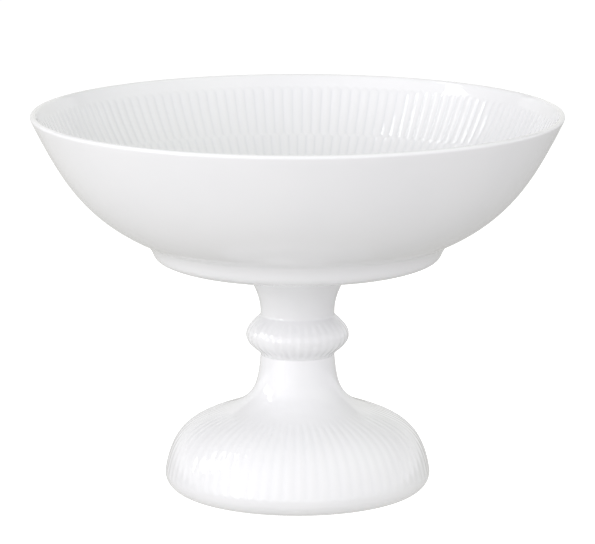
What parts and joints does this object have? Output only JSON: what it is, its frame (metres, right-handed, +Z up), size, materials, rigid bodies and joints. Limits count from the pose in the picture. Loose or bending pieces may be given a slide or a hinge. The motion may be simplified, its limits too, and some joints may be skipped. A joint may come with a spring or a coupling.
{
  "type": "footed serving bowl",
  "caption": "Deep white porcelain bowl on a knopped pedestal and domed foot, ribbed inside and on the foot, bolted together through the hollow stem and taken apart by a wing nut.",
  "frame": {"origin": "middle of the circle that the foot stands on", "axes": "+Z up along the stand's axis of symmetry; +X along one wing of the wing nut when it is tight"},
  "size_m": [0.2462, 0.2462, 0.178],
  "materials": {
    "porcelain": "white porcelain under a clear high-gloss glaze",
    "seat_rubber": "matt off-white silicone",
    "cushion_rubber": "matt black",
    "cement": "rough set cement",
    "brass": "cast and tumbled, satin",
    "zinc_steel": "bright zinc plated"
  },
  "bodies": {
    "stand": {"bowl": "porcelain", "knop": "porcelain", "foot": "porcelain", "bowl_seat_washer": "seat_rubber", "knop_seat_washer": "seat_rubber", "threaded_insert": "brass", "insert_cement": "cement", "tie_rod": "zinc_steel"},
    "washers": {"cushion_washer": "cushion_rubber", "clamp_washer": "zinc_steel", "lock_washer": "zinc_steel"},
    "nut": {"wing_nut": "brass"}
  },
  "joints": [
    {"name": "washer_drop", "type": "slide", "parent": "stand", "child": "washers", "axis": [0, 0, -1], "range_m": [0, 0.0108]},
    {"name": "nut_turn", "type": "hinge", "parent": "washers", "child": "nut", "pos_m": [0, 0, 0.038], "axis": [0, 0, -1], "range_deg": [0, 3870]}
  ],
  "couplings": [
    {"joint": "washer_drop", "follows": "nut_turn", "m_per_rad": 0.00015915}
  ]
}
